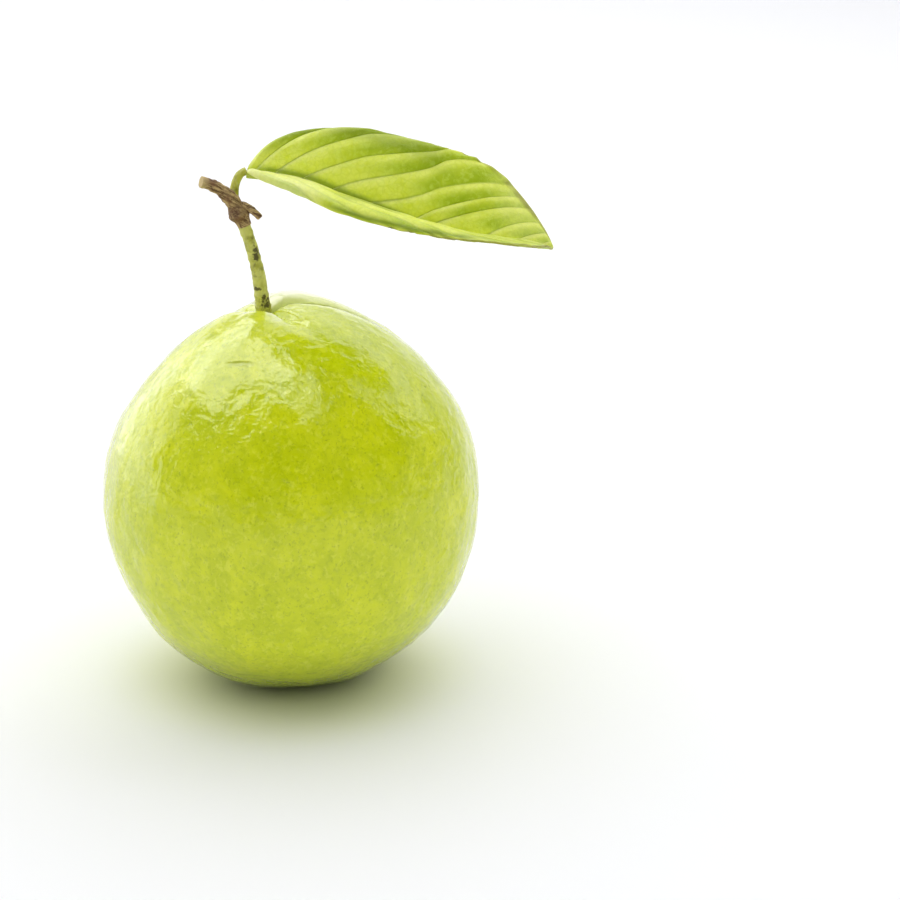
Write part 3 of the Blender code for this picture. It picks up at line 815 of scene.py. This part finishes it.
def make_leaf_stalk():
    skin = green_stalk_skin(
        "leaf_stalk_green", srgb(190, 192, 52), srgb(148, 148, 14), srgb(104, 98, 24), ()
    )
    return grow_stem(
        "petiole", LEAF_STALK_LINE, skin, 0.2 * MM, 32, 0.12 * MM, 0.8 * MM, 0.3, 0.2, 2.0 * MM, 7
    )


# Leaf


def blade_line(place):
    """Where a line across the blade leaves the midrib, and where it reaches the margin."""
    index = min(int(place), len(VEIN_ROOTS) - 2)
    root, end = (
        row[index] + (row[index + 1] - row[index]) * (place - index) for row in (VEIN_ROOTS, VEIN_ENDS)
    )
    return root, end


def midrib_frame(along):
    points = [Vector(place) * MM for place in LEAF_MIDRIB]
    step = 0.01
    tangent = (through(points, along + step) - through(points, along - step)).normalized()
    across = Vector((0, 0, 1)).cross(tangent).normalized()
    return through(points, along), across, tangent.cross(across)


def half_section(along, reach, share, side):
    slopes, bend, roll = NEAR_HALF_SLOPES, NEAR_HALF_BEND, between_rows(NEAR_MARGIN_ROLLS, along)
    if side > 0:
        slopes, bend, roll = FAR_HALF_SLOPES, FAR_HALF_BEND, FAR_MARGIN_ROLL
    start = between_rows(slopes, along)
    level = 0.0
    rise = 0.0
    for step in range(BEND_STEPS):
        here = share * (step + 0.5) / BEND_STEPS
        slope = math.radians(
            start + bend * here + roll * smooth_step((here - ROLL_START) / (1 - ROLL_START))
        )
        level += math.cos(slope) * reach / BEND_STEPS
        rise += math.sin(slope) * reach / BEND_STEPS
    return level, rise, slope


def leaf_point(place, out, side):
    """A point of the blade: pillows between the veins, a fine groove along each vein and a waved margin."""
    root, end = blade_line(place)
    forward = 1 - (1 - out) ** ROW_SPREAD
    along = root + (end - root) * forward
    share = 1 - (1 - forward) ** VEIN_TURN
    middle, across, up = midrib_frame(along)
    level, rise, slope = half_section(along, between_rows(LEAF_HALF_WIDTHS, end) * MM * share, share, side)
    surface = middle + across * side * level + up * rise
    normal = up * math.cos(slope) - across * side * math.sin(slope)
    across_pillow = abs(math.sin(math.pi * (place % 1) ** PILLOW_LEAN))
    along_pillow = math.sin(math.pi * min(out * 1.04, 1))
    swell = across_pillow**0.8 * along_pillow**0.6
    fade = smooth_step((1 - root) * 5) * smooth_step(place * 2)
    wave = noise.noise(surface / (9 * MM)) * 0.5 + noise.noise(surface / (3.2 * MM)) * 0.22
    margin = noise.noise(Vector((end * 26, side, 0))) * smooth_step((out - 0.7) / 0.3) * 0.5
    lift = PILLOW_HEIGHT * swell * fade * (1 + 0.35 * wave) + (wave * 0.5 + margin) * MM * out
    return surface + normal * lift


def leaf_blade_skin():
    """Fresh yellow-green, with painted shade at each pillow's foot, along the veins and in the fold, and a
    brown margin.
    """
    made, tree, shader, where = finish_material(
        "leaf_blade",
        Specular_IOR_Level=0.35,
        Subsurface_Weight=0.8,
        Subsurface_Scale=1.4 * MM,
        Subsurface_Radius=(1.0, 1.0, 0.22),
    )
    vein, edge, pleat, fold = (painted(tree, name) for name in ("vein", "margin", "pleat", "fold"))
    jitter = node(
        tree, "ShaderNodeTexNoise", {"Vector": where, "Scale": 1 / (1.6 * MM), "Detail": 2.0}
    ).outputs["Color"]
    shaken = vector_sums(tree, "ADD", where, vector_sums(tree, "SCALE", jitter, scale=1.2 * MM))
    net = spots(tree, shaken, 1.7 * MM, "DISTANCE_TO_EDGE")
    web = ramp(tree, net, (0.02, 1.0), (0.16, 0.0))
    clouds = grain(tree, where, 7 * MM, 3, 0.6, 0.5)
    colour = blend(tree, ramp(tree, clouds, (0.36, 0), (0.64, 1)), srgb(208, 219, 68), srgb(221, 230, 106))
    patches = grain(tree, where, 1.6 * MM, 4, 0.6, 0.6, 3.0)
    # Painted shade at each pillow's foot, deepening towards the next vein and fading near the midrib
    foot = sums(
        tree,
        "MULTIPLY",
        ramp(tree, pleat, (0.22, 0), (0.8, 1)),
        ramp(tree, edge, (0.18, 0), (0.5, 1), (0.8, 1), (0.98, 0.85)),
    )
    patchy_pillow_shade = sums(tree, "MULTIPLY", foot, ramp(tree, clouds, (0.3, 0.55), (0.6, 1.0)))
    colour = blend(tree, patchy_pillow_shade, colour, srgb(163, 184, 2))
    colour = blend(tree, ramp(tree, patches, (0.45, 0), (0.66, 0.4)), colour, srgb(212, 226, 104))
    colour = blend(tree, sums(tree, "MULTIPLY", web, 0.12), colour, srgb(156, 176, 16))
    # Painted shade in the vein grooves: darker along each vein
    colour = blend(tree, ramp(tree, vein, (0.70, 0), (0.98, 0.45)), colour, srgb(146, 168, 14))
    # Painted shade where the fold share is above 0
    colour = blend(tree, sums(tree, "MULTIPLY", fold, 0.85, clamp=True), colour, srgb(124, 146, 4))
    # Paler where the fold share is below 0
    colour = blend(tree, sums(tree, "MULTIPLY", fold, -1.0, clamp=True), colour, srgb(240, 246, 176))
    rim = sums(
        tree,
        "MULTIPLY",
        ramp(tree, edge, (0.965, 0), (0.995, 1)),
        ramp(tree, clouds, (0.3, 0.25), (0.6, 0.9)),
    )
    colour = blend(tree, rim, colour, srgb(150, 150, 70))
    tree.links.new(colour, shader.inputs["Base Color"])
    tree.links.new(ramp(tree, patches, (0.3, 0.40), (0.7, 0.58)), shader.inputs["Roughness"])
    bumps = relief(tree, web, 0.12 * MM, -0.4)
    tree.links.new(
        relief(tree, grain(tree, where, 1.5 * MM, 3, 0.55, 0.4, 8.0), 0.4 * MM, 0.9, bumps),
        shader.inputs["Normal"],
    )
    return made


def fold_shade(along, out, side):
    """How much painted shade a place of the blade gets: in the groove beside the midrib and along the upper
    margin of the far half, and in the fold, under the rolled crest and before the tip of the near half;
    below 0 it is paler instead, at the far half's tip and the near half's base.
    """
    if side > 0:
        top_margin_shade = 0.6 * smooth_step((out - 0.45) / 0.25) * (1 - smooth_step((along - 0.48) / 0.16))
        pale_tip = 0.3 * smooth_step((along - 0.78) / 0.12)
        return bell(out - 0.025, 0.03) * smooth_step(along * 12) + top_margin_shade - pale_tip
    before_tip = 1 - smooth_step((along - 0.68) / 0.08)
    crest_foot_shade = bell(out - 0.9, 0.055) * smooth_step((along - 0.22) / 0.12)
    inner = 0.6 * (1 - smooth_step((out - 0.3) / 0.2)) * smooth_step((along - 0.22) / 0.14)
    pale_base = 0.34 * (1 - smooth_step((along - 0.2) / 0.14))
    return max(crest_foot_shade, inner) * before_tip + 0.3 * (1 - before_tip) - pale_base


def blade_sheet():
    """The open sheet of the blade, with its shares towards a vein, the margin and a pillow's foot, and its
    share of painted shade round the fold.
    """
    lines = (len(VEIN_ROOTS) - 1) * LINES_PER_VEIN
    made = bmesh.new()
    vein_layer = made.verts.layers.float.new("vein")
    margin_layer = made.verts.layers.float.new("margin")
    pleat_layer = made.verts.layers.float.new("pleat")
    fold_layer = made.verts.layers.float.new("fold")

    def corner(index, out, side):
        place = index / LINES_PER_VEIN
        root, end = blade_line(place)
        vertex = made.verts.new(leaf_point(place, out, side))
        vertex[vein_layer] = 1 - abs(math.sin(math.pi * place))
        vertex[margin_layer] = out
        vertex[pleat_layer] = place % 1
        vertex[fold_layer] = fold_shade(root + (end - root) * out, out, side)
        return vertex

    rib = [corner(i, 0, 1) for i in range(lines + 1)]
    for side in (1, -1):
        rows = []
        for i in range(1, lines):
            rows.append([rib[i]] + [corner(i, j / CELLS_ACROSS, side) for j in range(1, CELLS_ACROSS + 1)])
        start = [rib[0]] * (CELLS_ACROSS + 1)
        end = [rib[lines]] * (CELLS_ACROSS + 1)
        for low, high in zip([start] + rows, rows + [end]):
            for j in range(CELLS_ACROSS):
                corners = [low[j], high[j], high[j + 1], low[j + 1]]
                corners = list(dict.fromkeys(corners if side < 0 else reversed(corners)))
                if len(corners) > 2:
                    made.faces.new(corners)
    bmesh.ops.triangulate(made, faces=made.faces)
    return made


def make_leaf():
    blade = sheet_object("leaf_blade", blade_sheet())
    blade.data.materials.append(leaf_blade_skin())
    shell = blade.modifiers.new("thickness", "SOLIDIFY")
    shell.thickness = BLADE_THICKNESS
    shell.offset = 0
    return as_plain_mesh(blade)


def vein_tree(material):
    """Tapered ribs swept along the vein paths."""
    tree, paths, given = growth_tree("vein_growth", {"Sides": 3, "Step": 0.0})
    even = node(tree, "GeometryNodeResampleCurve", {"Curve": paths, "Length": given["Step"]}, mode="LENGTH")
    ring = node(
        tree, "GeometryNodeCurvePrimitiveCircle", {"Resolution": given["Sides"], "Radius": 1.0}
    ).outputs[0]
    width = node(tree, "GeometryNodeInputRadius").outputs[0]
    sweep = node(
        tree,
        "GeometryNodeCurveToMesh",
        {"Curve": even.outputs[0], "Profile Curve": ring, "Fill Caps": True},
    )
    if "Scale" in sweep.inputs:
        tree.links.new(width, sweep.inputs["Scale"])
    close_growth(tree, sweep.outputs[0], material)
    return tree


def rib_skin():
    made, tree, shader, where = finish_material("leaf_ribs", Specular_IOR_Level=0.45)
    streaks = grain(tree, vector_sums(tree, "MULTIPLY", where, (0.3, 1.0, 1.0)), 0.8 * MM, 3, 0.6)
    colour = blend(tree, ramp(tree, streaks, (0.35, 0), (0.65, 1)), srgb(186, 202, 56), srgb(208, 222, 92))
    tree.links.new(colour, shader.inputs["Base Color"])
    tree.links.new(ramp(tree, streaks, (0.3, 0.4), (0.7, 0.6)), shader.inputs["Roughness"])
    tree.links.new(relief(tree, streaks, 0.08 * MM, 0.6), shader.inputs["Normal"])
    return made


def make_ribs():
    """The midrib, proud on both faces of the blade, and the veins that stand out on its underside."""
    curve = bpy.data.curves.new("leaf_ribs", "CURVE")
    curve.dimensions = "3D"

    def add_path(points):
        spline = curve.splines.new("POLY")
        spline.points.add(len(points) - 1)
        for spot, (place, radius) in zip(spline.points, points):
            spot.co = (*place, 1)
            spot.radius = radius

    rib = []
    for index in range(61):
        along = index / 60 * 0.985
        place, _, up = midrib_frame(along)
        radius = MIDRIB_RADII[0] + (MIDRIB_RADII[1] - MIDRIB_RADII[0]) * along
        sunk = place - up * radius * between_rows(MIDRIB_DROPS, along)
        rib.append((sunk, radius * (1 if along < 0.9 else 1 - (along - 0.9) * 4)))
    add_path(rib)
    for side in (1, -1):
        for vein in range(1, len(VEIN_ROOTS) - 1):
            points = []
            for index in range(41):
                out = 0.015 + index / 40 * 0.93
                place = leaf_point(vein, out, side)
                above = leaf_point(vein, min(out + 0.01, 1), side)
                beside = leaf_point(vein + 0.02, out, side)
                down = (above - place).cross(beside - place).normalized()
                if down.z > 0:
                    down = -down
                radius = (0.46 - 0.34 * out) * MM
                points.append((place + down * (BLADE_THICKNESS / 2 - radius * 0.15), radius))
            add_path(points)
    placed = bpy.data.objects.new("leaf_ribs", curve)
    bpy.context.scene.collection.objects.link(placed)
    return grow(placed, vein_tree(rib_skin()), {"Sides": 12, "Step": 0.6 * MM})


# Calyx


def calyx_point(azimuth, share):
    place = azimuth * SEPALS / math.tau
    off = abs(place % 1 - 0.5) * 2
    uneven = 0.88 + 0.12 * math.cos(2 * azimuth + 1)
    margin = CALYX_DISC_RADIUS + SEPAL_LENGTH * uneven * (1 - off**1.2)
    out = margin * share
    past = max(out - CALYX_DISC_RADIUS * 0.7, 0) / SEPAL_LENGTH
    point = Vector(
        (out * math.cos(azimuth), out * math.sin(azimuth), SEPAL_RISE * past**0.9 * (0.72 + 0.28 * uneven))
    )
    crinkle = noise.noise(point / (1.1 * MM)) * 0.22 + noise.noise(point / (0.5 * MM)) * 0.08
    return point + Vector((0, 0, crinkle * MM * min(share * 2, 1)))


def calyx_skin():
    made, tree, shader, where = finish_material("calyx_brown", Specular_IOR_Level=0.25)
    clouds = grain(tree, where, 1.2 * MM, 4, 0.6, 0.5)
    colour = blend(tree, ramp(tree, clouds, (0.36, 0), (0.64, 1)), srgb(62, 44, 26), srgb(128, 100, 62))
    tree.links.new(colour, shader.inputs["Base Color"])
    tree.links.new(ramp(tree, clouds, (0.3, 0.7), (0.7, 0.9)), shader.inputs["Roughness"])
    tree.links.new(
        relief(tree, grain(tree, where, 0.4 * MM, 3, 0.6, 0, 3.0), 0.15 * MM, 0.9), shader.inputs["Normal"]
    )
    return made


def make_calyx():
    rings, segments = 24, 150
    made = bmesh.new()
    middle = made.verts.new(calyx_point(0, 0))
    rows = []
    for i in range(1, rings + 1):
        rows.append(
            [made.verts.new(calyx_point(math.tau * j / segments, i / rings)) for j in range(segments)]
        )
    for j in range(segments):
        k = (j + 1) % segments
        made.faces.new((middle, rows[0][j], rows[0][k]))
        for inner, outer in zip(rows, rows[1:]):
            made.faces.new((inner[j], outer[j], outer[k], inner[k]))
    seat = fruit_point(math.pi, 0.0)
    way = (seat - FRUIT_CENTRE).normalized()
    lift = Matrix.Translation(seat + way * (CALYX_THICKNESS / 2 + CALYX_GAP))
    made.transform(lift @ way.to_track_quat("Z", "Y").to_matrix().to_4x4())
    calyx = sheet_object("dry_calyx", made)
    calyx.data.materials.append(calyx_skin())
    shell = calyx.modifiers.new("thickness", "SOLIDIFY")
    shell.thickness = CALYX_THICKNESS * 0.7
    shell.offset = 0
    return as_plain_mesh(calyx)


# Floor, light and camera


def make_floor():
    made = bmesh.new()
    bmesh.ops.create_grid(made, x_segments=1, y_segments=1, size=9.0)
    floor = sheet_object("floor", made)
    paper, tree, shader, where = finish_material("floor_paper", Specular_IOR_Level=0.2)
    shade = grain(tree, where, 0.4, 2)
    white = blend(tree, shade, (0.955, 0.96, 0.995), (0.97, 0.975, 1.0))
    # Painted bounce light and shadow: a yellow-green tint on the floor round the fruit's foot
    off = vector_sums(tree, "LENGTH", where)
    near = rising_share(tree, off, 54 * MM, 16 * MM, smooth=True)
    tree.links.new(blend(tree, near, white, (0.88, 0.885, 0.6)), shader.inputs["Base Color"])
    shader.inputs["Roughness"].default_value = 0.7
    floor.data.materials.append(paper)


def soft_box(name, place, facing, along, size, glow, diffuse=True, glossy=True):
    """A rectangular light, its place given from the fruit's middle, and the way its second side runs.

    Glow is how bright its face is. It can be left out of what is lit by it, or of what mirrors it.
    """
    light = bpy.data.lights.new(name, "AREA")
    light.shape = "RECTANGLE"
    light.size, light.size_y = size
    light.energy = glow * math.pi * size[0] * size[1]
    placed = bpy.data.objects.new(name, light)
    bpy.context.scene.collection.objects.link(placed)
    back = -Vector(facing).normalized()
    side = Vector(along).cross(back).normalized()
    turn = Matrix((side, back.cross(side), back)).transposed().to_4x4()
    placed.matrix_world = Matrix.Translation(FRUIT_CENTRE + Vector(place)) @ turn
    placed.visible_diffuse = diffuse
    placed.visible_glossy = glossy


def make_lights():
    """White wall behind, dark room in front, soft boxes left and right, fill for the shaded sides."""
    world = bpy.data.worlds.new("studio")
    bpy.context.scene.world = world
    world.use_nodes = True
    tree = world.node_tree
    background = tree.nodes["Background"]
    way = node(
        tree, "ShaderNodeSeparateXYZ", {0: tree.nodes.new("ShaderNodeTexCoord").outputs["Generated"]}
    )
    behind = rising_share(tree, way.outputs[1], -0.05, 0.2)
    below = rising_share(tree, way.outputs[2], 0.5, 0.36)
    to_left = rising_share(tree, way.outputs[0], 0.5, 0.0)
    far_left = rising_share(tree, way.outputs[0], -0.2, -0.9)
    far_right = rising_share(tree, way.outputs[0], 0.55, 0.85)
    wall = blend(tree, to_left, (0.9, 0.9, 0.9), (1.5, 1.5, 1.5))
    wall = blend(tree, far_right, wall, (0.4, 0.4, 0.4))
    low = rising_share(tree, way.outputs[2], 0.42, 0.0, smooth=True)
    room = blend(tree, far_left, (0.04, 0.04, 0.04), (0.35, 0.35, 0.35))
    room = blend(tree, low, room, (0.45, 0.45, 0.45))
    tree.links.new(
        blend(tree, sums(tree, "MULTIPLY", behind, below), room, wall), background.inputs["Color"]
    )
    overhead = {"facing": (0, 0, -1), "along": (-0.31, 0.95, 0)}
    soft_box("left_box", (-0.6, 0.33, 1.05), size=(1.2, 1.85), glow=0.56, glossy=False, **overhead)
    soft_box("left_gleam", (-0.715, 0.323, 1.0), size=(1.15, 1.69), glow=4.3, diffuse=False, **overhead)
    soft_box(
        "front_gleam",
        (0.153, -0.278, 0.97),
        (0, 0, -1),
        (-0.609, 0.793, 0),
        (0.3, 0.75),
        2.4,
        diffuse=False,
    )
    soft_box("left_card", (-0.32, 0.19, 0.16), (1, 0, 0), (0, 0, 1), (0.52, 0.4), 1.35, diffuse=False)
    beside = {"facing": (-0.602, -0.622, -0.501), "along": (-0.793, 0.537, 0.285), "size": (0.9, 1.5)}
    soft_box("right_box", (0.425, 0.57, 0.92), glow=1.02, glossy=False, **beside)
    soft_box("right_gleam", (0.397, 0.523, 0.869), glow=1.65, diffuse=False, **beside)
    soft_box(
        "front_fill", (0.65, -0.85, 0.65), (-0.65, 0.85, -0.65), (0, 0, 1), (0.8, 0.8), 0.68, glossy=False
    )
    soft_box("ceiling", (0, 0.3, 2.5), (0, 0, -1), (0, 1, 0), (9, 9), 0.58, glossy=False)
    soft_box("far_floor", (0.7, 2.0, 1.3), (0, 0, -1), (0, 1, 0), (4, 1.6), 0.6, glossy=False)


def make_camera():
    lens = bpy.data.cameras.new("camera")
    camera = bpy.data.objects.new("camera", lens)
    bpy.context.scene.collection.objects.link(camera)
    lens.lens = LENS
    lens.sensor_width = SENSOR
    lens.clip_start = 0.02
    lens.clip_end = 20
    back = Vector((0, -math.cos(CAMERA_ELEVATION), math.sin(CAMERA_ELEVATION)))
    up = Vector((0, math.sin(CAMERA_ELEVATION), math.cos(CAMERA_ELEVATION)))
    aim = FRUIT_CENTRE + (Vector((1, 0, 0)) * PICTURE_SHIFT[0] + up * PICTURE_SHIFT[1]) * PIXEL
    camera.location = aim + back * (PICTURE_PIXELS * PIXEL * LENS / SENSOR)
    camera.rotation_mode = "QUATERNION"
    camera.rotation_quaternion = (-back).to_track_quat("-Z", "Y")
    bpy.context.scene.camera = camera
    bpy.context.scene.view_settings.view_transform = "Standard"


def place(piece, node_name, slot):
    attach(piece, "root")
    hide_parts(node_name)


def main():
    place(make_fruit(), "fruit", "guava_skin")
    place(make_calyx(), "calyx", "calyx_brown")
    place(make_stalk(), "stalk", "stalk_green")
    place(make_twig(), "twig", "twig_bark")
    place(make_leaf_stalk(), "leaf_stalk", "leaf_stalk_green")
    place(make_leaf(), "leaf", "leaf_blade")
    place(make_ribs(), "leaf", "leaf_blade")
    make_floor()
    make_lights()
    make_camera()


main()
